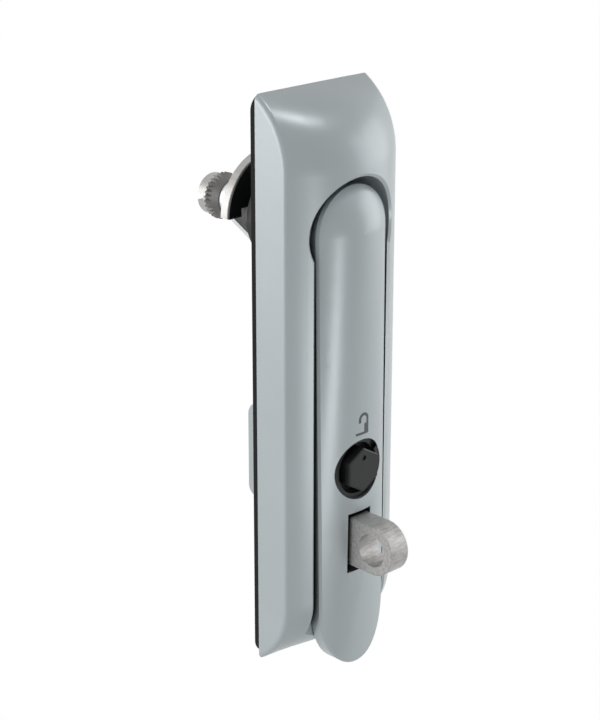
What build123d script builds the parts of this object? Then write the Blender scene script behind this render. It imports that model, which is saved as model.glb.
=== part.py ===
"""Swing handle lock for a cabinet door.

Frame: origin on the spindle axis at the door plane (rear face of the gasket),
X to the right, Y to the rear (into the cabinet), Z up.  Millimetres.
"""
import math
import os

from build123d import *

os.makedirs("parts", exist_ok=True)

# ------------------------------------------------------- shared clearances
RUN_FIT = 0.05          # radial clearance of parts that turn in each other
SEAT_FIT = 0.1          # clearance of parts dropped into a recess
CUT_OVER = 1.0          # how far cutters run past a face
FAR = 60.0              # longer than any section is deep

# ---------------------------------------------------------------- housing
HALF_W = 21.3           # half width of the housing
TOP_Z = 37.8            # upper end at the rear edge
BOT_Z = -127.2          # lower end at the rear edge
REAR_Y = -2.3           # rear plane of the housing, front face of the gasket
SIDE_Y = -13.3          # front edge of the flat side faces
CREST_Y = -21.2         # crest of the crowned front
END_LINE_Y = 10.8       # line the end sections are turned about
END_R = END_LINE_Y - SIDE_Y
END_H = math.sqrt(END_R**2 - (END_LINE_Y - REAR_Y) ** 2)
TOP_C = TOP_Z - END_H   # where the upper end starts to turn back
BOT_C = BOT_Z + END_H   # where the lower end starts to turn back
SHOULDER_R = 1.6        # blend between side face and crown
END_DEG = 66.0          # last end section, behind the rear plane
FADE_DEG = 58.0         # where the crown has flattened out
END_STEPS = 8

# ---------------------------------------------------------------- handle
PIVOT_Y = -12.2
HANDLE_HW = 13.15       # half width at the head
HEAD_CREST_Y = -23.0    # the head is domed more than the housing
HEAD_EDGE_Y = -17.3
TIP_HW = 12.6           # half width where the tip ellipse starts
TIP_C = -111.2
TIP_L = 17.5
TIP_LEAD = 5.0          # straight stretch that the tip's broken edge is led in on
HANDLE_CHAMFER = 0.6
FLOOR_Y = -14.7         # floor of the grip channel
HANDLE_BACK_Y = FLOOR_Y - 0.3
CHANNEL_W = HANDLE_HW + 0.9
POCKET_GAP = 2.15
POCKET_R = HANDLE_HW + POCKET_GAP
POCKET_Y = -7.2         # floor of the rotor pocket
RIM_CHAMFER = 0.8       # broken edge round channel and pocket
GROOVE_HW, GROOVE_D = 7.5, 2.0
GROOVE_TOP, GROOVE_BOT = -18.0, -54.0

# ---------------------------------------------------------------- rotor
PIN_R = 2.0
EAR_R = 3.4
TONGUE_HW = 4.1
TONGUE_R = 3.2
EAR_IN = TONGUE_HW + 0.3
EAR_OUT = 8.0
HEAD_CAVITY_Y = PIVOT_Y - EAR_R - 0.6
HEAD_CAVITY_HW = EAR_OUT + 0.5
HEAD_CAVITY_HH = 7.0
ROTOR_DISC_R, ROTOR_DISC_Y = 10.4, -8.6
SHAFT_R = 8.0
SQUARE = 10.0           # across the driving square
SCREW_R = 4.0           # M8 cam screw
SCREW_HOLE_DEPTH = 14.0

# ---------------------------------------------------- stack behind the door
COLLAR_R, COLLAR_END = 13.6, 9.5
NECK_R, NECK_END = 10.2, 12.5
NECK_CHAMFER = 0.6
SHIM_T = 0.6            # shim between collar and stop disc
DISC_R, DISC_T = 17.4, 3.0
DISC_Y = NECK_END + SHIM_T
DISC_CHAMFER = 0.25
HUB_R = SHAFT_R + 0.6   # web left round the shaft below the half disc
NOSE_Z, NOTCH_Z, NOTCH_HW = 0.3, 2.7, 12.7
FLANGE_HW, FLANGE_HH, FLANGE_CUT, FLANGE_T = 12.7, 9.5, 8.9, 2.4
SQUARE_END_Y = DISC_Y + DISC_T + FLANGE_T
SLEEVE_R = 5.0
SLEEVE_L = 11.7
RING_R, RING_T, RING_FLAT, RING_CONE = 6.8, 4.4, 1.2, 1.4
RING_Y = SQUARE_END_Y + SLEEVE_L
TEETH, TOOTH_R = 30, 0.62
HEAD_R, HEAD_T, HEAD_CHAMFER = 6.0, 4.4, 0.7
HEAD_SLOT, HEAD_SLOT_D = 2.3, 3.0

# ---------------------------------------------------------- lock insert
INSERT_Z = -68.1
CUP_R = 8.9
CUP_BORE_R = 7.5
CUP_FRONT_Y = -20.5
CUP_FLOOR_Y = -17.0
CUP_NOTCH_W, CUP_NOTCH_D, CUP_NOTCH_DEG = 3.0, 1.2, 42.0
STEM_R = 5.9
HEX_AF = 11.35          # across flats
HEX_FRONT_Y = -23.0
HEX_CHAMFER = 0.35
DOT_R, DOT_D, DOT_UP = 0.75, 0.5, 3.7
CORE_R = 4.4
NUT_R, NUT_NOTCH_W, NUT_NOTCH_D = 8.4, 2.2, 1.8
NUT_T = 2.3
NUT_BACK_Y = HANDLE_BACK_Y + NUT_T
CAM_Y = NUT_BACK_Y + 0.4
CAM_T, CAM_EYE_R, CAM_HW, CAM_L = 2.0, 5.2, 3.5, 10.5
CAM_SQUARE = 5.2
CAM_END_Y = CAM_Y + CAM_T
CAM_SCREW_R, CAM_SCREW_L = 1.6, 6.0
CAM_HEAD_R, CAM_HEAD_T = 3.4, 2.2
KEY_R = NUT_R + 1.0     # keyhole in the channel floor, passes nut and cam
KEY_HW = CAM_HW + 0.8
KEY_L = CAM_L + 0.9

# ----------------------------------------------------------- padlock lug
LUG_DROP = 21.4
LUG_Z = INSERT_Z - LUG_DROP
LUG_R = 7.35
LUG_HW = 3.55
LUG_C_Y = -29.8
LUG_CHAMFER = 0.35
LUG_HOLE_R = 4.8
LUG_HOLE_Y = -29.5
SLOT_HW = LUG_HW + 0.9
SLOT_TOP = LUG_Z + LUG_R + 1.25
SLOT_BELOW = 2.25
SLOT_BOT = LUG_Z - LUG_R - SLOT_BELOW
FLANGE_SEAT_Y = -8.5    # seat of the lug's foot
FOOT_HW, FOOT_T = 9.8, 2.5
FOOT_GAP = 0.2
LUG_SCREW_X = 7.0
LUG_SCREW_R, LUG_SCREW_L = 1.6, 6.5
LUG_SCREW_HEAD_R, LUG_SCREW_HEAD_T = 2.7, 2.0

# ----------------------------------------------------- rear latch cover
COVER_HW, COVER_TOP, COVER_BOT, COVER_END = 11.5, -54.3, -83.1, 12.45
COVER_Z = (COVER_TOP + COVER_BOT) / 2
COVER_H = COVER_TOP - COVER_BOT
COVER_R = 3.6
COVER_CHAMFER = 0.6
COVER_WALL = 1.9
COVER_FLANGE_T = 2.0
COVER_FLANGE_W, COVER_FLANGE_H, COVER_FLANGE_R = 2.0, 0.6, 3.2
PLATE_Y = REAR_Y + COVER_FLANGE_T
TAB_REACH, TAB_R, TAB_H = 2.8, 2.7, 7.4
TAB_X = COVER_HW + TAB_REACH   # the screws stand outside the cover's wall
COVER_SCREW_R, COVER_SCREW_L = 1.25, 7.0
COVER_SCREW_HEAD_R, COVER_SCREW_HEAD_T = 2.2, 1.6

# ------------------------------------------------ floor cavities, fixings
CAVITY_HW = COVER_HW - 0.3
FLOOR_T = 2.1
CAVITY_Y = FLOOR_Y + FLOOR_T
CAVITY_HH = 12.5
CAVITY_TOP, CAVITY_BOT = INSERT_Z + CAVITY_HH, INSERT_Z - CAVITY_HH
CORE_HW = 13.0
UPPER_CORE = (-19.0, -49.0, -11.5)
LOWER_CORE = (-102.0, -111.0, -11.0)
BUFFER_R, BUFFER_T = 1.5, 1.2
BUFFER_X, BUFFER_Z = 7.0, -106.0
FIX_TOP, FIX_BOT, FIX_R, FIX_DEPTH = 25.5, -116.5, 2.1, 8.0
GASKET_IN, GASKET_R, GASKET_GAP = 0.6, 4.2, 0.3


def xz(y):
    """Plane parallel to the door at depth y: local x = +X, local y = +Z, normal = -Y."""
    return Plane(origin=(0, y, 0), x_dir=(1, 0, 0), z_dir=(0, -1, 0))


def yz(x):
    """Plane square to X: local x = +Y, local y = +Z."""
    return Plane(origin=(x, 0, 0), x_dir=(0, 1, 0), z_dir=(1, 0, 0))


def crown(scale=1.0, x=0.0):
    """Height of the crowned front above the side edge at distance x from the middle."""
    h = (SIDE_Y - CREST_Y) * scale
    r = (HALF_W**2 + h * h) / (2 * h)
    return math.sqrt(r * r - x * x) - (r - h)


def end_section(centre_z, deg, sign=1):
    """Plane of one section: local x = +X, local y = outward from the turning line."""
    a = math.radians(deg)
    out = Vector(0, -math.cos(a), sign * math.sin(a))
    return Plane(origin=(0, END_LINE_Y, centre_z), x_dir=(1, 0, 0),
                 z_dir=Vector(1, 0, 0).cross(out))


def profile_face(half_w, edge_h, crest_h, foot, blend):
    """Crowned profile on the XY plane: arc over straight sides, corners blended."""
    face = Face(Wire([
        Edge.make_three_point_arc((-half_w, edge_h), (0, crest_h), (half_w, edge_h)),
        Edge.make_line((half_w, edge_h), (half_w, foot)),
        Edge.make_line((half_w, foot), (-half_w, foot)),
        Edge.make_line((-half_w, foot), (-half_w, edge_h))]))
    return face.fillet_2d(blend, face.vertices().sort_by(Axis.Y)[-2:])


def crown_face(scale=1.0):
    """Housing profile on the XY plane with its crown flattened to a share of its height."""
    return profile_face(HALF_W, END_R, END_R + crown(scale), END_R / 12, SHOULDER_R)


def lever_face(z, half_w, edge_y, crest_y, corner=HANDLE_CHAMFER):
    """Lever profile at height z: crowned front, broken corners, flat back."""
    with BuildSketch(Plane.XY.offset(z)) as section:
        with BuildLine():
            ThreePointArc((-half_w, edge_y), (0, crest_y), (half_w, edge_y))
            Polyline((half_w, edge_y), (half_w, HANDLE_BACK_Y), (-half_w, HANDLE_BACK_Y),
                     (-half_w, edge_y))
        make_face()
        if corner:
            chamfer(section.vertices().sort_by(Axis.Y)[:2], length=corner)
    return section.sketch


def end_cap(centre_z, sign):
    """Loft of crown sections turned about the end line, the crown fading on the way."""
    sections = []
    for i in range(END_STEPS + 1):
        deg = END_DEG * (i / END_STEPS) ** 1.3
        fade = math.cos(math.radians(90.0 * min(deg / FADE_DEG, 1.0))) ** 1.6
        sections.append(end_section(centre_z, deg, sign).location * crown_face(max(fade, 0.02)))
    return loft(sections, mode=Mode.PRIVATE)


def save(name, builder):
    """Label a finished part and write its STEP file."""
    builder.part.label = name
    export_step(builder.part, f"parts/{name}.step")


def round_bar(radius, y_front, y_back, x=0.0, z=0.0, mode=Mode.ADD):
    """Cylinder along Y between two depths."""
    with Locations(Location((x, (y_front + y_back) / 2, z), (90, 0, 0))):
        Cylinder(radius, y_back - y_front, mode=mode)


def cross_bar(radius, x0, x1, y, z, mode=Mode.ADD):
    """Cylinder along X between two stations."""
    with Locations(Location(((x0 + x1) / 2, y, z), (0, 90, 0))):
        Cylinder(radius, x1 - x0, mode=mode)


def block(x0, x1, y0, y1, z0, z1, mode=Mode.ADD):
    """Box between corner coordinates."""
    with Locations(((x0 + x1) / 2, (y0 + y1) / 2, (z0 + z1) / 2)):
        Box(x1 - x0, y1 - y0, z1 - z0, mode=mode)


def pan_screw(x, z, seat_y, shank_r, length, head_r, head_h):
    """Small screw driven from the rear, head on its seat."""
    round_bar(head_r, seat_y, seat_y + head_h, x=x, z=z)
    round_bar(shank_r, seat_y - length, seat_y, x=x, z=z)
    with BuildSketch(xz(seat_y + head_h)) as socket:
        with Locations((x, z)):
            RegularPolygon(head_r * 0.5, 6)
    extrude(socket.sketch, amount=head_h * 0.6, mode=Mode.SUBTRACT)


# ======================================================== base housing
with BuildPart() as base_housing:
    add(extrude(end_section(BOT_C, 0).location * crown_face(), amount=TOP_C - BOT_C,
                dir=(0, 0, 1), mode=Mode.PRIVATE))
    add(end_cap(TOP_C, 1))
    add(end_cap(BOT_C, -1))
    split(bisect_by=Plane(origin=(0, REAR_Y, 0), x_dir=(1, 0, 0), z_dir=(0, -1, 0)))
    # grip channel, open at the lower end, and round rotor pocket
    block(-CHANNEL_W, CHANNEL_W, -FAR, FLOOR_Y, BOT_Z - CUT_OVER, 0, mode=Mode.SUBTRACT)
    round_bar(POCKET_R, -FAR, POCKET_Y, mode=Mode.SUBTRACT)
    rim = base_housing.edges().filter_by_position(Axis.Y, CREST_Y - CUT_OVER, FLOOR_Y - CUT_OVER)
    rim = rim.filter_by_position(Axis.X, -POCKET_R, POCKET_R)
    rim = rim.filter_by_position(Axis.Z, BOT_C, POCKET_R + CUT_OVER).filter_by(Axis.Y, reverse=True)
    chamfer(rim, length=RIM_CHAMFER)
    # rotor bearing bore
    round_bar(SHAFT_R + RUN_FIT, POCKET_Y - CUT_OVER, REAR_Y + CUT_OVER, mode=Mode.SUBTRACT)
    # keyhole and latch cavity
    round_bar(KEY_R, FLOOR_Y - CUT_OVER, REAR_Y, z=INSERT_Z, mode=Mode.SUBTRACT)
    block(-KEY_HW, KEY_HW, FLOOR_Y - CUT_OVER, REAR_Y, INSERT_Z - KEY_L, INSERT_Z,
          mode=Mode.SUBTRACT)
    block(-CAVITY_HW, CAVITY_HW, CAVITY_Y, REAR_Y + CUT_OVER, CAVITY_BOT, CAVITY_TOP,
          mode=Mode.SUBTRACT)
    # lug slot and seat of the lug's foot
    block(-LUG_HW, LUG_HW, FLOOR_Y - CUT_OVER, REAR_Y, LUG_Z - LUG_R, LUG_Z + LUG_R,
          mode=Mode.SUBTRACT)
    block(-FOOT_HW - FOOT_GAP, FOOT_HW + FOOT_GAP, FLANGE_SEAT_Y, REAR_Y + CUT_OVER,
          LUG_Z - LUG_R - FOOT_GAP, LUG_Z + LUG_R + FOOT_GAP, mode=Mode.SUBTRACT)
    for side in (-1, 1):
        round_bar(LUG_SCREW_R, FLANGE_SEAT_Y + FOOT_T - LUG_SCREW_L, FLANGE_SEAT_Y,
                  x=side * LUG_SCREW_X, z=LUG_Z, mode=Mode.SUBTRACT)
        round_bar(COVER_SCREW_R, PLATE_Y - COVER_SCREW_L, REAR_Y, x=side * TAB_X, z=INSERT_Z,
                  mode=Mode.SUBTRACT)
        round_bar(BUFFER_R, FLOOR_Y, FLOOR_Y + BUFFER_T, x=side * BUFFER_X, z=BUFFER_Z,
                  mode=Mode.SUBTRACT)
    # weight-saving cores from the rear
    for core_top, core_bot, core_y in (UPPER_CORE, LOWER_CORE):
        block(-CORE_HW, CORE_HW, core_y, REAR_Y + CUT_OVER, core_bot, core_top,
              mode=Mode.SUBTRACT)
    # fixing holes for the two M5 screws
    for z in (FIX_TOP, FIX_BOT):
        round_bar(FIX_R, REAR_Y - FIX_DEPTH, REAR_Y, z=z, mode=Mode.SUBTRACT)
save("base_housing", base_housing)

# ======================================================== gasket
with BuildPart() as gasket:
    with BuildSketch(xz(0)):
        with Locations((0, (TOP_Z + BOT_Z) / 2)):
            RectangleRounded(2 * (HALF_W - GASKET_IN), TOP_Z - BOT_Z - 2 * GASKET_IN, GASKET_R)
        Circle(COLLAR_R + SEAT_FIT, mode=Mode.SUBTRACT)
        with Locations((0, COVER_Z)):
            RectangleRounded(2 * (COVER_HW + COVER_FLANGE_W / 2 + GASKET_GAP),
                             COVER_H + COVER_FLANGE_H + 2 * GASKET_GAP,
                             COVER_FLANGE_R + GASKET_GAP, mode=Mode.SUBTRACT)
        with Locations((0, INSERT_Z)):
            RectangleRounded(2 * (TAB_X + TAB_R + GASKET_GAP), TAB_H + 2 * GASKET_GAP,
                             TAB_R + GASKET_GAP, mode=Mode.SUBTRACT)
        with Locations((0, LUG_Z)):
            Rectangle(2 * (FOOT_HW + FOOT_GAP), 2 * (LUG_R + FOOT_GAP + COVER_WALL),
                      mode=Mode.SUBTRACT)
        for z in (FIX_TOP, FIX_BOT):
            with Locations((0, z)):
                Circle(FIX_R + 0.9, mode=Mode.SUBTRACT)
    extrude(amount=-REAR_Y)
save("gasket", gasket)

# ======================================================== handle lever
TIP_EDGE_Y = SIDE_Y - crown(1.0, TIP_HW)

with BuildPart() as handle_tip:
    add(lever_face(TIP_C + TIP_LEAD, TIP_HW, TIP_EDGE_Y, CREST_Y, 0))
    extrude(amount=-TIP_LEAD - TIP_L - CUT_OVER)
    with BuildSketch(xz(HANDLE_BACK_Y)):
        with Locations((0, TIP_C)):
            Ellipse(TIP_HW, TIP_L)
        with Locations((0, TIP_C + TIP_LEAD / 2)):
            Rectangle(2 * TIP_HW, TIP_LEAD)
    extrude(amount=FAR, mode=Mode.INTERSECT)
    rim = handle_tip.edges().filter_by_position(Axis.Z, TIP_C - TIP_L - CUT_OVER,
                                                TIP_C + TIP_LEAD - CUT_OVER)
    rim = rim.filter_by_position(Axis.Y, CREST_Y - CUT_OVER, TIP_EDGE_Y + RUN_FIT)
    chamfer(rim.filter_by(Axis.Y, reverse=True), length=HANDLE_CHAMFER)
    split(bisect_by=Plane.XY.offset(TIP_C), keep=Keep.BOTTOM)

with BuildPart() as handle_lever:
    add(loft([lever_face(0, HANDLE_HW, HEAD_EDGE_Y, HEAD_CREST_Y),
              lever_face(TIP_C, TIP_HW, TIP_EDGE_Y, CREST_Y)], mode=Mode.PRIVATE))
    with BuildSketch(Plane.XY) as dome:
        add(lever_face(0, HANDLE_HW, HEAD_EDGE_Y, HEAD_CREST_Y))
        split(bisect_by=Plane.YZ)
    revolve(dome.sketch, axis=Axis.Y, revolution_arc=-180)
    add(handle_tip.part)
    # opening for the lock insert and slot for the padlock lug
    round_bar(CUP_R, -FAR, 0, z=INSERT_Z, mode=Mode.SUBTRACT)
    block(-SLOT_HW, SLOT_HW, -FAR, 0, SLOT_BOT, SLOT_TOP, mode=Mode.SUBTRACT)
    # recess over the rotor ears, and the tongue that turns on the pivot pin
    block(-HEAD_CAVITY_HW, HEAD_CAVITY_HW, HEAD_CAVITY_Y, 0, -HEAD_CAVITY_HH, HEAD_CAVITY_HH,
          mode=Mode.SUBTRACT)
    block(-TONGUE_HW, TONGUE_HW, HEAD_CAVITY_Y - CUT_OVER, PIVOT_Y, -TONGUE_R, TONGUE_R)
    cross_bar(TONGUE_R, -TONGUE_HW, TONGUE_HW, PIVOT_Y, 0)
    cross_bar(PIN_R + RUN_FIT, -EAR_OUT, EAR_OUT, PIVOT_Y, 0, mode=Mode.SUBTRACT)
    # lightening groove along the back of the grip
    block(-GROOVE_HW, GROOVE_HW, HANDLE_BACK_Y - GROOVE_D, HANDLE_BACK_Y + CUT_OVER,
          GROOVE_BOT, GROOVE_TOP, mode=Mode.SUBTRACT)
save("handle_lever", handle_lever)

# ======================================================== rotor and pivot
with BuildPart() as rotor:
    round_bar(ROTOR_DISC_R, ROTOR_DISC_Y, POCKET_Y)
    round_bar(SHAFT_R, POCKET_Y, DISC_Y)
    block(-SQUARE / 2, SQUARE / 2, DISC_Y, SQUARE_END_Y, -SQUARE / 2, SQUARE / 2)
    for side in (-1, 1):
        x0, x1 = sorted((side * EAR_IN, side * EAR_OUT))
        block(x0, x1, PIVOT_Y, ROTOR_DISC_Y, -EAR_R, EAR_R)
        cross_bar(EAR_R, x0, x1, PIVOT_Y, 0)
    cross_bar(PIN_R, -EAR_OUT, EAR_OUT, PIVOT_Y, 0, mode=Mode.SUBTRACT)
    round_bar(SCREW_R, SQUARE_END_Y - SCREW_HOLE_DEPTH, SQUARE_END_Y, mode=Mode.SUBTRACT)
save("rotor", rotor)

with BuildPart() as pivot_pin:
    cross_bar(PIN_R, -EAR_OUT, EAR_OUT, PIVOT_Y, 0)
    chamfer(pivot_pin.edges(), length=PIN_R * 0.15)
save("pivot_pin", pivot_pin)

# ======================================================== stack behind the door
with BuildPart() as bearing_collar:
    round_bar(COLLAR_R, REAR_Y, COLLAR_END)
    round_bar(NECK_R, COLLAR_END, NECK_END)
    chamfer(bearing_collar.edges().filter_by(GeomType.CIRCLE).sort_by(Axis.Y)[-1],
            length=NECK_CHAMFER)
    round_bar(SHAFT_R + RUN_FIT, REAR_Y, NECK_END, mode=Mode.SUBTRACT)
save("bearing_collar", bearing_collar)


def stop_outline(radius):
    """Upper half disc with two short stop noses and a hub web round the shaft."""
    Circle(radius)
    with Locations((0, NOTCH_Z - radius)):
        Rectangle(2 * NOTCH_HW, 2 * radius, mode=Mode.SUBTRACT)
    with Locations((0, NOSE_Z - radius)):
        Rectangle(3 * radius, 2 * radius, mode=Mode.SUBTRACT)
    Circle(HUB_R)


with BuildPart() as stop_shim:
    with BuildSketch(xz(DISC_Y)):
        stop_outline(DISC_R - SEAT_FIT)
        Circle(SHAFT_R + RUN_FIT, mode=Mode.SUBTRACT)
    extrude(amount=SHIM_T)
save("stop_shim", stop_shim)

with BuildPart() as stop_disc:
    with BuildSketch(xz(DISC_Y + DISC_T)):
        stop_outline(DISC_R)
        Rectangle(SQUARE, SQUARE, mode=Mode.SUBTRACT)
    extrude(amount=DISC_T)
    chamfer(stop_disc.edges().filter_by(GeomType.CIRCLE).group_by(SortBy.RADIUS)[-1],
            length=DISC_CHAMFER)
save("stop_disc", stop_disc)

with BuildPart() as drive_flange:
    with BuildSketch(xz(SQUARE_END_Y)) as flange_outline:
        Rectangle(2 * FLANGE_HW, 2 * FLANGE_HH)
        chamfer(flange_outline.vertices(), length=FLANGE_CUT)
        Rectangle(SQUARE, SQUARE, mode=Mode.SUBTRACT)
    extrude(amount=FLANGE_T)
save("drive_flange", drive_flange)

with BuildPart() as spacer_sleeve:
    round_bar(SLEEVE_R, SQUARE_END_Y, RING_Y)
    round_bar(SCREW_R + SEAT_FIT, SQUARE_END_Y, RING_Y, mode=Mode.SUBTRACT)
save("spacer_sleeve", spacer_sleeve)

with BuildPart() as serrated_washer:
    with BuildSketch(Plane.XY):
        with BuildLine():
            Polyline((SCREW_R + SEAT_FIT, RING_Y), (RING_R - RING_CONE, RING_Y),
                     (RING_R, RING_Y + RING_T - RING_FLAT), (RING_R, RING_Y + RING_T),
                     (SCREW_R + SEAT_FIT, RING_Y + RING_T), close=True)
        make_face()
    revolve(axis=Axis.Y)
    with BuildSketch(xz(RING_Y + RING_T)):
        with PolarLocations(RING_R, TEETH):
            RegularPolygon(TOOTH_R, 4)
    extrude(amount=RING_T, mode=Mode.SUBTRACT)
save("serrated_washer", serrated_washer)

SCREW_SEAT_Y = RING_Y + RING_T
with BuildPart() as cam_screw:
    round_bar(HEAD_R, SCREW_SEAT_Y, SCREW_SEAT_Y + HEAD_T)
    chamfer(cam_screw.edges().filter_by(GeomType.CIRCLE).sort_by(Axis.Y)[-1],
            length=HEAD_CHAMFER)
    round_bar(SCREW_R, SQUARE_END_Y - SCREW_HOLE_DEPTH + CUT_OVER, SCREW_SEAT_Y)
    block(-HEAD_R, HEAD_R, SCREW_SEAT_Y + HEAD_T - HEAD_SLOT_D, SCREW_SEAT_Y + HEAD_T,
          -HEAD_SLOT / 2, HEAD_SLOT / 2, mode=Mode.SUBTRACT)
save("cam_screw", cam_screw)

# ======================================================== lock insert
with BuildPart() as insert_housing:
    round_bar(CUP_R, CUP_FRONT_Y, HANDLE_BACK_Y, z=INSERT_Z)
    round_bar(CUP_BORE_R, CUP_FRONT_Y, CUP_FLOOR_Y, z=INSERT_Z, mode=Mode.SUBTRACT)
    round_bar(STEM_R, HANDLE_BACK_Y, NUT_BACK_Y, z=INSERT_Z)
    round_bar(CORE_R + RUN_FIT, CUP_FLOOR_Y, NUT_BACK_Y, z=INSERT_Z, mode=Mode.SUBTRACT)
    # notch in the ring at the upper right
    with Locations(Location((0, CUP_FRONT_Y, INSERT_Z), (0, -CUP_NOTCH_DEG, 0))):
        with Locations(((CUP_R + CUP_BORE_R) / 2, 0, 0)):
            Box(2 * (CUP_R - CUP_BORE_R), 2 * CUP_NOTCH_D, CUP_NOTCH_W, mode=Mode.SUBTRACT)
save("insert_housing", insert_housing)

with BuildPart() as hex_insert:
    with BuildSketch(xz(CUP_FLOOR_Y - SEAT_FIT)):
        with Locations((0, INSERT_Z)):
            RegularPolygon(HEX_AF / 2, 6, major_radius=False, rotation=30)
    extrude(amount=CUP_FLOOR_Y - SEAT_FIT - HEX_FRONT_Y)
    chamfer(hex_insert.faces().sort_by(Axis.Y)[0].edges(), length=HEX_CHAMFER)
    round_bar(DOT_R, HEX_FRONT_Y, HEX_FRONT_Y + DOT_D, z=INSERT_Z + DOT_UP, mode=Mode.SUBTRACT)
    round_bar(CORE_R, CUP_FLOOR_Y - SEAT_FIT, CAM_Y, z=INSERT_Z)
    block(-CAM_SQUARE / 2, CAM_SQUARE / 2, CAM_Y, CAM_END_Y, INSERT_Z - CAM_SQUARE / 2,
          INSERT_Z + CAM_SQUARE / 2)
    round_bar(CAM_SCREW_R, CAM_END_Y - CAM_SCREW_L - CUT_OVER, CAM_END_Y, z=INSERT_Z,
              mode=Mode.SUBTRACT)
save("hex_insert", hex_insert)

with BuildPart() as insert_nut:
    with BuildSketch(xz(NUT_BACK_Y)):
        with Locations((0, INSERT_Z)):
            Circle(NUT_R)
            Circle(STEM_R, mode=Mode.SUBTRACT)
            with PolarLocations(NUT_R, 4, start_angle=45):
                Rectangle(NUT_NOTCH_D, NUT_NOTCH_W, mode=Mode.SUBTRACT)
    extrude(amount=NUT_BACK_Y - HANDLE_BACK_Y)
save("insert_nut", insert_nut)

with BuildPart() as latch_cam:
    with BuildSketch(xz(CAM_END_Y)):
        with Locations((0, INSERT_Z)):
            Circle(CAM_EYE_R)
        with Locations((0, INSERT_Z - (CAM_L - CAM_HW) / 2)):
            Rectangle(2 * CAM_HW, CAM_L - CAM_HW)
        with Locations((0, INSERT_Z - CAM_L + CAM_HW)):
            Circle(CAM_HW)
        with Locations((0, INSERT_Z)):
            Rectangle(CAM_SQUARE, CAM_SQUARE, mode=Mode.SUBTRACT)
    extrude(amount=CAM_T)
save("latch_cam", latch_cam)

with BuildPart() as latch_screw:
    pan_screw(0, INSERT_Z, CAM_END_Y, CAM_SCREW_R, CAM_SCREW_L, CAM_HEAD_R, CAM_HEAD_T)
save("latch_screw", latch_screw)

# ======================================================== padlock lug
with BuildPart() as padlock_lug:
    with BuildSketch(yz(-LUG_HW)):
        with Locations(((LUG_C_Y + FLANGE_SEAT_Y) / 2, LUG_Z)):
            Rectangle(FLANGE_SEAT_Y - LUG_C_Y, 2 * LUG_R)
        with Locations((LUG_C_Y, LUG_Z)):
            Circle(LUG_R)
    extrude(amount=2 * LUG_HW)
    chamfer(padlock_lug.edges().filter_by(GeomType.CIRCLE), length=LUG_CHAMFER)
    cross_bar(LUG_HOLE_R, -LUG_HW, LUG_HW, LUG_HOLE_Y, LUG_Z, mode=Mode.SUBTRACT)
    block(-FOOT_HW, FOOT_HW, FLANGE_SEAT_Y, FLANGE_SEAT_Y + FOOT_T, LUG_Z - LUG_R, LUG_Z + LUG_R)
    for side in (-1, 1):
        round_bar(LUG_SCREW_R, FLANGE_SEAT_Y, FLANGE_SEAT_Y + FOOT_T, x=side * LUG_SCREW_X,
                  z=LUG_Z, mode=Mode.SUBTRACT)
save("padlock_lug", padlock_lug)

with BuildPart() as lug_screws:
    for side in (-1, 1):
        pan_screw(side * LUG_SCREW_X, LUG_Z, FLANGE_SEAT_Y + FOOT_T, LUG_SCREW_R, LUG_SCREW_L,
                  LUG_SCREW_HEAD_R, LUG_SCREW_HEAD_T)
save("lug_screws", lug_screws)

# ======================================================== rear latch cover
with BuildPart() as latch_cover:
    block(-COVER_HW, COVER_HW, REAR_Y, COVER_END, COVER_BOT, COVER_TOP)
    fillet(latch_cover.edges().filter_by(Axis.X).sort_by(Axis.Y)[-2:], radius=COVER_R)
    chamfer(latch_cover.edges().filter_by(Axis.Z).sort_by(Axis.Y)[-2:], length=COVER_CHAMFER)
    with BuildSketch(xz(PLATE_Y)):
        with Locations((0, COVER_Z)):
            RectangleRounded(2 * COVER_HW + COVER_FLANGE_W, COVER_H + COVER_FLANGE_H,
                             COVER_FLANGE_R)
        with Locations((0, INSERT_Z)):
            RectangleRounded(2 * (TAB_X + TAB_R), TAB_H, TAB_R)
    extrude(amount=COVER_FLANGE_T)
    block(-COVER_HW + COVER_WALL, COVER_HW - COVER_WALL, REAR_Y, COVER_END - COVER_WALL,
          COVER_BOT + COVER_WALL, COVER_TOP - COVER_WALL, mode=Mode.SUBTRACT)
    for side in (-1, 1):
        round_bar(COVER_SCREW_R, REAR_Y, PLATE_Y, x=side * TAB_X, z=INSERT_Z,
                  mode=Mode.SUBTRACT)
save("latch_cover", latch_cover)

with BuildPart() as cover_screws:
    for side in (-1, 1):
        pan_screw(side * TAB_X, INSERT_Z, PLATE_Y, COVER_SCREW_R, COVER_SCREW_L,
                  COVER_SCREW_HEAD_R, COVER_SCREW_HEAD_T)
save("cover_screws", cover_screws)

# ======================================================== buffers under the tip
with BuildPart() as tip_buffers:
    for side in (-1, 1):
        round_bar(BUFFER_R, FLOOR_Y, FLOOR_Y + BUFFER_T, x=side * BUFFER_X, z=BUFFER_Z)
save("tip_buffers", tip_buffers)
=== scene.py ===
"""Swing handle lock: finishes, small details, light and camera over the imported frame."""
import logging
import math
from dataclasses import dataclass, field
from enum import Enum
from typing import Any, ClassVar, Iterable

import bmesh
import bpy
from mathutils import Matrix, Vector
from mathutils.bvhtree import BVHTree


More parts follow.
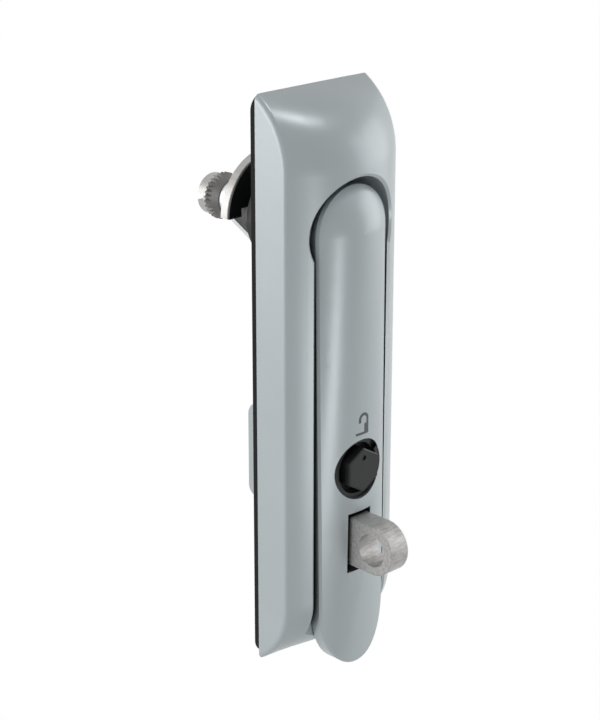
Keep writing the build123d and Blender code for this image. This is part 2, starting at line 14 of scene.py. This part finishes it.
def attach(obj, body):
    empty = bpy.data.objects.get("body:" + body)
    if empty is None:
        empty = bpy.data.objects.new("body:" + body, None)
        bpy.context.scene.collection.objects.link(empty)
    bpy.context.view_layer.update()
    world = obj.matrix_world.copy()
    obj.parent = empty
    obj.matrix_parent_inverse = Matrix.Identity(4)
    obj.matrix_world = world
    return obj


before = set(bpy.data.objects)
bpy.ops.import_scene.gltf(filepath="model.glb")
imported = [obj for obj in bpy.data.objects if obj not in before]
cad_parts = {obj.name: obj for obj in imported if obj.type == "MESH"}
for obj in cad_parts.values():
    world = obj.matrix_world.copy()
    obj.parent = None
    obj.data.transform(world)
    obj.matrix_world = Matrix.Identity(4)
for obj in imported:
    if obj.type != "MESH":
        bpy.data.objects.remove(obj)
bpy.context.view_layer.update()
MM = 0.001
SENSOR_WIDTH = 36.0
# Painted shade: ramp over ambient occlusion, near black deep in gaps, plain colour in the open.
PAINTED_GAP_SHADE = ((0.26, (0.015, 0.015, 0.015)), (0.52, (1.0, 1.0, 1.0)))
GAP_SAMPLES = 8
log = logging.getLogger("swing_handle")


def place(name: str, data: bpy.types.ID) -> bpy.types.Object:
    """Puts a new object into the scene.

    Args:
        name: The object's name.
        data: Its mesh, lamp or camera.

    Returns:
        The object.
    """
    obj = bpy.data.objects.new(name, data)
    bpy.context.scene.collection.objects.link(obj)
    return obj


class Finish(Enum):
    """Named finishes of the lock."""

    SATIN_CAST = "satin_cast"
    PALE_CAST = "pale_cast"
    BRUSHED_STEEL = "brushed_steel"
    DARK_STEEL = "dark_steel"
    BLACK_PLASTIC = "black_plastic"
    BLACK_RUBBER = "black_rubber"
    LUG_STEEL = "lug_steel"
    ICON_INK = "icon_ink"


class Socket:
    """Wraps a shader socket so that node maths reads as Python expressions."""

    def __init__(self, tree: bpy.types.NodeTree, socket: bpy.types.NodeSocket) -> None:
        """Keeps the tree and the socket."""
        self.tree = tree
        self.socket = socket

    def _math(self, operation: str, a: Any, b: Any) -> "Socket":
        """Adds one Math node.

        Args:
            operation: The Math node's operation.
            a: First value or socket.
            b: Second value or socket.

        Returns:
            The wrapped result.
        """
        return Nodes(self.tree).node("ShaderNodeMath", {"operation": operation}, in_order=(a, b))

    def __add__(self, other: Any) -> "Socket":
        """Sum."""
        return self._math("ADD", self, other)

    def __radd__(self, other: Any) -> "Socket":
        """Sum with a number on the left."""
        return self._math("ADD", other, self)

    def __sub__(self, other: Any) -> "Socket":
        """Difference."""
        return self._math("SUBTRACT", self, other)

    def __rsub__(self, other: Any) -> "Socket":
        """Difference with a number on the left."""
        return self._math("SUBTRACT", other, self)

    def __mul__(self, other: Any) -> "Socket":
        """Product."""
        return self._math("MULTIPLY", self, other)

    def __rmul__(self, other: Any) -> "Socket":
        """Product with a number on the left."""
        return self._math("MULTIPLY", other, self)


class Nodes:
    """Adds nodes to one tree: the world's or a material's."""

    def __init__(self, tree: bpy.types.NodeTree) -> None:
        """Keeps the tree."""
        self.tree = tree

    def feed(self, target: bpy.types.NodeSocket, value: Any) -> None:
        """Sets or links one socket.

        Args:
            target: The input to fill.
            value: A plain value, or a wrapped socket to link.
        """
        if isinstance(value, Socket):
            self.tree.links.new(value.socket, target)
        else:
            target.default_value = value

    def node(self, kind: str, settings: dict[str, Any] | None = None, output: str | None = None,
             in_order: Iterable[Any] = (), **inputs: Any) -> Socket:
        """Adds a node.

        Args:
            kind: The node's type.
            settings: Node properties or a ramp's stops, set before its sockets.
            output: Name of the output, or None for the first enabled one.
            in_order: Values or wrapped sockets for the first inputs, in their order.
            **inputs: Values or wrapped sockets, by socket name with _ for a space.

        Returns:
            The wrapped output.
        """
        node = self.tree.nodes.new(kind)
        for key, value in (settings or {}).items():
            if key == "stops":
                self._stops(node.color_ramp, list(value))
            else:
                setattr(node, key, value)
        for target, value in zip(node.inputs, in_order):
            self.feed(target, value)
        for key, value in inputs.items():
            self.feed(next(s for s in node.inputs
                           if s.name.replace(" ", "_") == key and s.enabled), value)
        return Socket(self.tree, node.outputs[output] if output
                      else next(s for s in node.outputs if s.enabled))

    def _stops(self, ramp: bpy.types.ColorRamp,
               stops: list[tuple[float, tuple[float, ...]]]) -> None:
        """Fills a colour ramp.

        Args:
            ramp: The node's colour ramp.
            stops: Positions from 0 to 1 with their RGB colours.
        """
        while len(ramp.elements) < len(stops):
            ramp.elements.new(0.5)
        for element, (position, colour) in zip(ramp.elements, stops):
            element.position = position
            element.color = (*colour, 1.0)

    def ramp(self, value: Socket, stops: Iterable[tuple[float, tuple[float, ...]]]) -> Socket:
        """Colour ramp over a value.

        Args:
            value: What picks the colour, from 0 to 1.
            stops: Positions with their RGB colours.

        Returns:
            The wrapped colour.
        """
        return self.node("ShaderNodeValToRGB", {"stops": stops}, Fac=value)

    def mix(self, factor: Any, a: Any, b: Any, blend: str = "MIX") -> Socket:
        """Colour mix of a and b.

        Args:
            factor: Share of b, from 0 to 1.
            a: First colour.
            b: Second colour.
            blend: The Mix node's blend type.

        Returns:
            The wrapped colour.
        """
        return self.node("ShaderNodeMix", {"data_type": "RGBA", "blend_type": blend},
                         Factor=factor, A=a, B=b)

    def seen_directly(self) -> Socket:
        """One for rays from the eye and for mirrored or transmitted rays."""
        camera, glossy, transmitted = (self.node("ShaderNodeLightPath", output=name) for name in
                                       ("Is Camera Ray", "Is Glossy Ray", "Is Transmission Ray"))
        return camera + glossy + transmitted


class MaterialBuilder(Nodes):
    """Builds one node material around a Principled shader."""

    def __init__(self, name: str) -> None:
        """Creates the material."""
        self.material = bpy.data.materials.new(name)
        self.material.use_nodes = True
        super().__init__(self.material.node_tree)
        self.shader = self.tree.nodes["Principled BSDF"]

    def coordinates(self, scale: tuple[float, float, float] = (1, 1, 1)) -> Socket:
        """Object coordinates in metres.

        Args:
            scale: Factor on each axis.

        Returns:
            The wrapped vector.
        """
        raw = self.node("ShaderNodeTexCoord", output="Object")
        return self.node("ShaderNodeMapping", Vector=raw, Scale=scale)

    def noise(self, scale: float, detail: float, stretch: tuple[float, float, float] = (1, 1, 1),
              roughness: float = 0.5) -> Socket:
        """Noise over the object.

        Args:
            scale: Patches in a metre.
            detail: Octaves of finer noise.
            stretch: Factor on each axis, below 1 to draw the noise out.
            roughness: How strong the finer octaves are.

        Returns:
            The wrapped value.
        """
        return self.node("ShaderNodeTexNoise", Vector=self.coordinates(stretch),
                         Scale=scale, Detail=detail, Roughness=roughness)

    def in_gaps(self, reach: float) -> Socket:
        """How open the surface is, from 0 deep in a gap to 1 in the open.

        Args:
            reach: Distance in metres over which neighbours close it in.

        Returns:
            The wrapped value.
        """
        return self.node("ShaderNodeAmbientOcclusion", {"samples": GAP_SAMPLES}, output="AO",
                         Distance=reach)

    def bump(self, height: Socket, distance: float, strength: float = 1.0) -> None:
        """Bump from a height pattern into the shader's normal.

        Args:
            height: The pattern, from 0 to 1.
            distance: Depth of the bump in metres.
            strength: Share of the bump that shows.
        """
        normal = self.node("ShaderNodeBump", Height=height, Distance=distance,
                           Strength=strength)
        self.feed(self.shader.inputs["Normal"], normal)

    def set(self, **values: Any) -> None:
        """Sets or links sockets of the Principled shader, by name with _ for a space."""
        for key, value in values.items():
            self.feed(self.shader.inputs[key.replace("_", " ")], value)

    def add_glow(self, strength: Any) -> None:
        """Adds emission to the Principled shader.

        Args:
            strength: Level of the glow.
        """
        glow = self.node("ShaderNodeEmission", Strength=strength)
        surface = Socket(self.tree, self.shader.outputs["BSDF"])
        self.feed(self.tree.nodes["Material Output"].inputs["Surface"],
                  self.node("ShaderNodeAddShader", in_order=(surface, glow)))


@dataclass(frozen=True)
class MetalFinish:
    """A bare or lacquered metal with fine grain, and painted shade in gaps when
    painted_shade_reach is set.

    Attributes:
        name: Material name.
        dark: Darker colour of the slow variation.
        light: Lighter colour of the slow variation.
        metallic: How metallic the surface reads.
        roughness: Middle roughness.
        spread: How far roughness varies.
        grain_scale: Scale of the fine grain.
        grain_depth: Bump depth in metres.
        grain_stretch: Stretch of the grain, for brushing.
        painted_shade_reach: Distance in metres over which gaps get painted shade in the base
            colour, 0 for none.
        streak: Share of the fine grain in the colour, for brushing that shows.
    """

    name: str
    dark: tuple[float, float, float]
    light: tuple[float, float, float]
    metallic: float
    roughness: float
    spread: float
    grain_scale: float
    grain_depth: float
    grain_stretch: tuple[float, float, float] = (1, 1, 1)
    painted_shade_reach: float = 0.0
    streak: float = 0.0

    GRAIN_DETAIL: ClassVar[float] = 4.0
    GRAIN_ROUGHNESS: ClassVar[float] = 0.65
    TONE_SCALE: ClassVar[float] = 45.0
    TONE_DETAIL: ClassVar[float] = 3.0
    TONE_STOPS: ClassVar[tuple[float, float]] = (0.3, 0.7)
    BUMP_STRENGTH: ClassVar[float] = 0.6

    def build(self) -> bpy.types.Material:
        """Makes the material."""
        m = MaterialBuilder(self.name)
        grain = m.noise(self.grain_scale, self.GRAIN_DETAIL, self.grain_stretch,
                        self.GRAIN_ROUGHNESS)
        patches = m.noise(self.TONE_SCALE, self.TONE_DETAIL)
        tone = patches * (1.0 - self.streak) + grain * self.streak
        colour = m.ramp(tone, zip(self.TONE_STOPS, (self.dark, self.light)))
        # Painted shade: the base colour is multiplied towards near black in gaps, from ambient
        # occlusion.
        if self.painted_shade_reach:
            shade = m.ramp(m.in_gaps(self.painted_shade_reach), PAINTED_GAP_SHADE)
            colour = m.mix(1.0, colour, shade, "MULTIPLY")
        m.set(Base_Color=colour, Metallic=self.metallic,
              Roughness=self.roughness - self.spread / 2 + grain * self.spread)
        m.bump(grain, self.grain_depth, self.BUMP_STRENGTH)
        return m.material


@dataclass(frozen=True)
class MouldedFinish:
    """Moulded plastic or rubber with a fine spark-eroded texture.

    Attributes:
        name: Material name.
        dark: Darker colour.
        light: Lighter colour.
        roughness: Middle roughness.
        grain_scale: Scale of the moulded grain.
        grain_depth: Bump depth in metres.
        sheen: Specular level, 0.5 for a plain dielectric.
    """

    name: str
    dark: tuple[float, float, float]
    light: tuple[float, float, float]
    roughness: float
    grain_scale: float
    grain_depth: float
    sheen: float = 0.5

    GRAIN_DETAIL: ClassVar[float] = 3.0
    GRAIN_ROUGHNESS: ClassVar[float] = 0.6
    TONE_STOPS: ClassVar[tuple[float, float]] = (0.25, 0.75)
    SPREAD: ClassVar[float] = 0.1
    BUMP_STRENGTH: ClassVar[float] = 0.5

    def build(self) -> bpy.types.Material:
        """Makes the material."""
        m = MaterialBuilder(self.name)
        grain = m.noise(self.grain_scale, self.GRAIN_DETAIL, roughness=self.GRAIN_ROUGHNESS)
        m.set(Base_Color=m.ramp(grain, zip(self.TONE_STOPS, (self.dark, self.light))),
              Roughness=self.roughness - self.SPREAD / 2 + grain * self.SPREAD,
              Specular_IOR_Level=self.sheen)
        m.bump(grain, self.grain_depth, self.BUMP_STRENGTH)
        return m.material


@dataclass(frozen=True)
class Palette:
    """All finishes of the lock, built once."""

    specs: tuple[tuple[Finish, MetalFinish | MouldedFinish], ...] = (
        # Painted shade in gaps on the satin cast, within 5 mm.
        (Finish.SATIN_CAST, MetalFinish(
            "satin_silver_cast", dark=(0.545, 0.607, 0.627), light=(0.570, 0.634, 0.655),
            metallic=0.12, roughness=0.32, spread=0.06, grain_scale=2600.0,
            grain_depth=0.00002, painted_shade_reach=0.005)),
        (Finish.PALE_CAST, MetalFinish(
            "pale_zinc_cast", dark=(0.78, 0.79, 0.80), light=(0.84, 0.85, 0.86),
            metallic=0.6, roughness=0.42, spread=0.10, grain_scale=1500.0,
            grain_depth=0.00003)),
        # Painted shade in gaps on the lug, within 4 mm.
        (Finish.LUG_STEEL, MetalFinish(
            "blasted_lug_steel", dark=(0.28, 0.275, 0.27), light=(0.60, 0.59, 0.575),
            metallic=0.5, roughness=0.38, spread=0.16, grain_scale=1500.0,
            grain_depth=0.00004, grain_stretch=(0.25, 1, 1), painted_shade_reach=0.004, streak=0.7)),
        (Finish.BRUSHED_STEEL, MetalFinish(
            "brushed_steel", dark=(0.38, 0.37, 0.355), light=(0.50, 0.49, 0.475),
            metallic=0.7, roughness=0.38, spread=0.16, grain_scale=900.0,
            grain_depth=0.00002, grain_stretch=(1, 0.15, 1), streak=0.6)),
        (Finish.DARK_STEEL, MetalFinish(
            "dark_spring_steel", dark=(0.12, 0.118, 0.112), light=(0.17, 0.166, 0.16),
            metallic=0.6, roughness=0.42, spread=0.12, grain_scale=1200.0,
            grain_depth=0.00002)),
        (Finish.BLACK_PLASTIC, MouldedFinish(
            "black_moulded_plastic", dark=(0.010, 0.011, 0.012), light=(0.016, 0.017, 0.018),
            roughness=0.42, grain_scale=2200.0, grain_depth=0.00002, sheen=0.33)),
        (Finish.BLACK_RUBBER, MouldedFinish(
            "black_rubber", dark=(0.012, 0.012, 0.013), light=(0.020, 0.020, 0.021),
            roughness=0.75, grain_scale=1400.0, grain_depth=0.00003, sheen=0.15)),
        (Finish.ICON_INK, MouldedFinish(
            "icon_grey", dark=(0.085, 0.098, 0.11), light=(0.10, 0.115, 0.125),
            roughness=0.5, grain_scale=1800.0, grain_depth=0.00001)),
    )

    def build(self) -> dict[Finish, bpy.types.Material]:
        """Builds every material of the palette."""
        return {key: spec.build() for key, spec in self.specs}


@dataclass
class DressedNodes:
    """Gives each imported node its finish.

    Attributes:
        finishes: Finish for each node name.
    """

    finishes: dict[str, Finish] = field(default_factory=lambda: {
        "base_housing": Finish.SATIN_CAST, "handle_lever": Finish.SATIN_CAST,
        "gasket": Finish.BLACK_RUBBER, "tip_buffers": Finish.BLACK_RUBBER,
        "rotor": Finish.PALE_CAST, "drive_flange": Finish.PALE_CAST,
        "spacer_sleeve": Finish.PALE_CAST, "latch_cover": Finish.SATIN_CAST,
        # stop_shim is a thin black sheet on the stop disc's front face, so that face is black.
        "bearing_collar": Finish.BLACK_PLASTIC, "stop_shim": Finish.BLACK_PLASTIC,
        "insert_housing": Finish.BLACK_PLASTIC, "hex_insert": Finish.BLACK_PLASTIC,
        "serrated_washer": Finish.DARK_STEEL, "pivot_pin": Finish.BRUSHED_STEEL,
        "stop_disc": Finish.BRUSHED_STEEL, "cam_screw": Finish.BRUSHED_STEEL,
        "insert_nut": Finish.BRUSHED_STEEL, "latch_cam": Finish.BRUSHED_STEEL,
        "latch_screw": Finish.BRUSHED_STEEL, "padlock_lug": Finish.LUG_STEEL,
        "lug_screws": Finish.BRUSHED_STEEL, "cover_screws": Finish.BRUSHED_STEEL,
    })

    def dress(self, palette: dict[Finish, bpy.types.Material]) -> None:
        """Assigns the finishes.

        Args:
            palette: The built materials.
        """
        for name, finish in self.finishes.items():
            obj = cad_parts[name]
            obj.data.materials.clear()
            obj.data.materials.append(palette[finish])
            log.info("%s wears %s", name, finish.value)


@dataclass
class PadlockIcon:
    """Open padlock printed on the handle above the insert, as a thin raised film.

    Attributes:
        centre: Middle of the shackle's arc, x and z in millimetres.
        arc_radius: Middle radius of the shackle.
        stroke: Width of the shackle.
        bars: Straight strokes as (left, right, bottom, top) in millimetres.
        arc_steps: Steps round the shackle.
        cell: Longest side of a facet in millimetres.
        front: Depth from which the film is laid onto the handle, in millimetres.
        sunk: How far the film's back lies under the surface, in millimetres.
        film: Thickness of the film in millimetres.
        weld: Distance in millimetres within which corners become one.
    """

    centre: tuple[float, float] = (0.55, -53.2)
    arc_radius: float = 1.5
    stroke: float = 0.85
    bars: tuple[tuple[float, float, float, float], ...] = (
        (-1.375, -0.525, -54.15, -53.2), (1.625, 2.475, -54.5, -53.2),
        (0.85, 2.55, -57.0, -54.5), (-2.4, 2.55, -57.7, -57.0))
    arc_steps: int = 24
    cell: float = 0.3
    front: float = -40.0
    sunk: float = 0.02
    film: float = 0.05
    weld: float = 0.01

    def shackle(self, shape: bmesh.types.BMesh) -> None:
        """Spins the half ring of the shackle."""
        cx, cz = self.centre
        ends = [shape.verts.new(((cx + self.arc_radius + side * self.stroke / 2) * MM, 0.0,
                                 cz * MM)) for side in (-1, 1)]
        edge = shape.edges.new(ends)
        bmesh.ops.spin(shape, geom=[*ends, edge], cent=(cx * MM, 0.0, cz * MM), axis=(0, -1, 0),
                       dvec=(0, 0, 0), angle=math.pi, steps=self.arc_steps, use_merge=False,
                       use_duplicate=False)

    def bar(self, shape: bmesh.types.BMesh, left: float, right: float, bottom: float,
            top: float) -> None:
        """Lays one straight stroke.

        Args:
            shape: The mesh being built.
            left: Left side in millimetres.
            right: Right side in millimetres.
            bottom: Lower side in millimetres.
            top: Upper side in millimetres.
        """
        wide, high = right - left, top - bottom
        made = bmesh.ops.create_grid(shape, x_segments=max(1, round(wide / self.cell)),
                                     y_segments=max(1, round(high / self.cell)), size=0.5)
        bmesh.ops.scale(shape, vec=(wide * MM, high * MM, 1.0), verts=made["verts"])
        bmesh.ops.rotate(shape, cent=(0, 0, 0), matrix=Matrix.Rotation(math.pi / 2, 3, "X"),
                         verts=made["verts"])
        bmesh.ops.translate(shape, vec=((left + wide / 2) * MM, 0.0, (bottom + high / 2) * MM),
                            verts=made["verts"])

    def lay(self, shape: bmesh.types.BMesh) -> None:
        """Presses the flat film onto the curved handle."""
        handle = BVHTree.FromObject(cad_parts["handle_lever"],
                                    bpy.context.evaluated_depsgraph_get())
        for vert in shape.verts:
            hit = handle.ray_cast(Vector((vert.co.x, self.front * MM, vert.co.z)),
                                  Vector((0, 1, 0)))[0]
            vert.co.y = hit.y + self.sunk * MM

    def build(self, ink: bpy.types.Material) -> bpy.types.Object:
        """Makes the film and lets it ride on the handle.

        Args:
            ink: Material of the print.

        Returns:
            The finished piece.
        """
        shape = bmesh.new()
        self.shackle(shape)
        for sides in self.bars:
            self.bar(shape, *sides)
        bmesh.ops.remove_doubles(shape, verts=shape.verts, dist=self.weld * MM)
        self.lay(shape)
        raised = bmesh.ops.extrude_face_region(shape, geom=shape.faces[:],
                                               use_keep_orig=True)["geom"]
        bmesh.ops.translate(shape, vec=(0.0, -self.film * MM, 0.0),
                            verts=[g for g in raised if isinstance(g, bmesh.types.BMVert)])
        bmesh.ops.recalc_face_normals(shape, faces=shape.faces)
        mesh = bpy.data.meshes.new("padlock_icon")
        shape.to_mesh(mesh)
        shape.free()
        mesh.materials.append(ink)
        obj = place("padlock_icon", mesh)
        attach(obj, "handle")
        log.info("padlock_icon printed on the handle, %d faces", len(mesh.polygons))
        return obj


@dataclass(frozen=True)
class SoftBox:
    """One square soft box around the part.

    Attributes:
        name: Lamp name.
        azimuth: Degrees from the front towards the right.
        elevation: Degrees above level.
        distance: Metres from the part.
        size: Side in metres.
        power: Watts.
    """

    name: str
    azimuth: float
    elevation: float
    distance: float
    size: float
    power: float

    def build(self, aim: Vector, kept_off: bpy.types.Collection) -> None:
        """Hangs the box.

        Args:
            aim: Point it faces.
            kept_off: Collection of what it doesn't light.
        """
        az, el = math.radians(self.azimuth), math.radians(self.elevation)
        away = Vector((math.sin(az) * math.cos(el), -math.cos(az) * math.cos(el), math.sin(el)))
        data = bpy.data.lights.new(self.name, "AREA")
        data.size = self.size
        data.energy = self.power
        obj = place(self.name, data)
        obj.location = aim + self.distance * away
        obj.rotation_euler = (-away).to_track_quat("-Z", "Y").to_euler()
        obj.light_linking.receiver_collection = kept_off


@dataclass(frozen=True)
class TopLight:
    """Broad light from above, which gives the floor its soft shadow.

    Attributes:
        azimuth: Degrees from the front towards the right.
        elevation: Degrees above level.
        spread: Width of the source in degrees, for the shadow's edge.
        strength: Watts on a square metre that faces it.
    """

    azimuth: float = 40.0
    elevation: float = 65.0
    spread: float = 10.0
    strength: float = 0.55

    def on_floor(self) -> float:
        """Level that it gives to a level white surface."""
        return self.strength * math.sin(math.radians(self.elevation)) / math.pi

    def build(self) -> None:
        """Hangs the light."""
        data = bpy.data.lights.new("top_light", "SUN")
        data.energy = self.strength
        data.angle = math.radians(self.spread)
        obj = place("top_light", data)
        obj.rotation_euler = (math.radians(90.0 - self.elevation), 0.0,
                              math.radians(self.azimuth))


@dataclass
class Studio:
    """Camera, lamps and floor.

    Attributes:
        eye: Camera position in metres.
        azimuth: Heading of the view, degrees from +Y towards +X.
        elevation: Degrees that the camera looks down.
        lens: Focal length in millimetres.
        near: Distance in metres at which the camera starts to see.
        ambient: Level of the light that comes from all around.
        floor_z: Height of the floor in metres.
        floor_size: Half side of the floor in metres.
        floor_tone: Colour level of the floor.
        aim: Point that the soft boxes face.
        boxes: The soft boxes.
        top: The light from above.
    """

    eye: tuple[float, float, float] = (-0.3562, -0.3610, 0.1407)
    azimuth: float = 44.416
    elevation: float = 19.755
    lens: float = 95.6
    near: float = 0.01
    ambient: float = 0.13
    floor_z: float = -0.28
    floor_size: float = 8.0
    floor_tone: float = 0.9
    aim: tuple[float, float, float] = (0.0, -0.015, -0.045)
    boxes: tuple[SoftBox, ...] = (
        SoftBox("low_front", azimuth=-10.0, elevation=-20.0, distance=0.5, size=0.117, power=0.34),
        SoftBox("right_key", azimuth=65.0, elevation=10.0, distance=0.9, size=0.72, power=2.7),
        SoftBox("left_side", azimuth=-120.0, elevation=10.0, distance=0.9, size=0.74, power=5.0))
    top: TopLight = TopLight()

    def camera(self) -> None:
        """Places the camera."""
        data = bpy.data.cameras.new("studio_camera")
        data.lens = self.lens
        data.sensor_width = SENSOR_WIDTH
        data.clip_start = self.near
        obj = place("studio_camera", data)
        az, el = math.radians(self.azimuth), math.radians(self.elevation)
        ahead = Vector((math.sin(az) * math.cos(el), math.cos(az) * math.cos(el), -math.sin(el)))
        right = Vector((math.cos(az), -math.sin(az), 0.0))
        up = right.cross(ahead)
        turn = Matrix((right, up, -ahead)).transposed().to_4x4()
        obj.matrix_world = Matrix.Translation(self.eye) @ turn
        bpy.context.scene.camera = obj

    def surroundings(self) -> None:
        """Plain even light, with white behind for the eye and in reflections."""
        world = bpy.data.worlds.new("studio_world")
        bpy.context.scene.world = world
        world.use_nodes = True
        nodes = Nodes(world.node_tree)
        background = world.node_tree.nodes["Background"]
        level = (self.ambient, self.ambient, self.ambient, 1.0)
        nodes.feed(background.inputs["Color"],
                   nodes.mix(nodes.seen_directly(), level, (1.0, 1.0, 1.0, 1.0)))
        nodes.feed(background.inputs["Strength"], 1.0)

    def floor(self) -> bpy.types.Collection:
        """Pale floor below the part, white where no shadow falls.

        Returns:
            A collection that keeps the soft boxes off the floor.
        """
        shape = bmesh.new()
        bmesh.ops.create_grid(shape, x_segments=1, y_segments=1, size=self.floor_size)
        bmesh.ops.translate(shape, vec=(0, 0, self.floor_z), verts=shape.verts)
        mesh = bpy.data.meshes.new("studio_floor")
        shape.to_mesh(mesh)
        shape.free()
        obj = place("studio_floor", mesh)
        m = MaterialBuilder("studio_white")
        m.set(Base_Color=(self.floor_tone, self.floor_tone, self.floor_tone, 1.0),
              Roughness=1.0, Specular_IOR_Level=0.0)
        lift = 1.0 - self.floor_tone * (self.ambient + self.top.on_floor())
        m.add_glow(m.seen_directly() * lift)
        m.material.cycles.emission_sampling = "NONE"
        mesh.materials.append(m.material)
        kept_off = bpy.data.collections.new("not_lit_by_soft_boxes")
        kept_off.objects.link(obj)
        kept_off.collection_objects[0].light_linking.link_state = "EXCLUDE"
        return kept_off

    def build(self) -> None:
        """Sets the whole studio."""
        self.camera()
        kept_off = self.floor()
        for box in self.boxes:
            box.build(Vector(self.aim), kept_off)
        self.top.build()
        self.surroundings()
        bpy.context.scene.view_settings.view_transform = "Standard"


def main() -> None:
    """Builds the studio and dresses the part."""
    logging.basicConfig(level=logging.INFO)
    palette = Palette().build()
    DressedNodes().dress(palette)
    PadlockIcon().build(palette[Finish.ICON_INK])
    Studio().build()


if __name__ == "__main__":
    main()
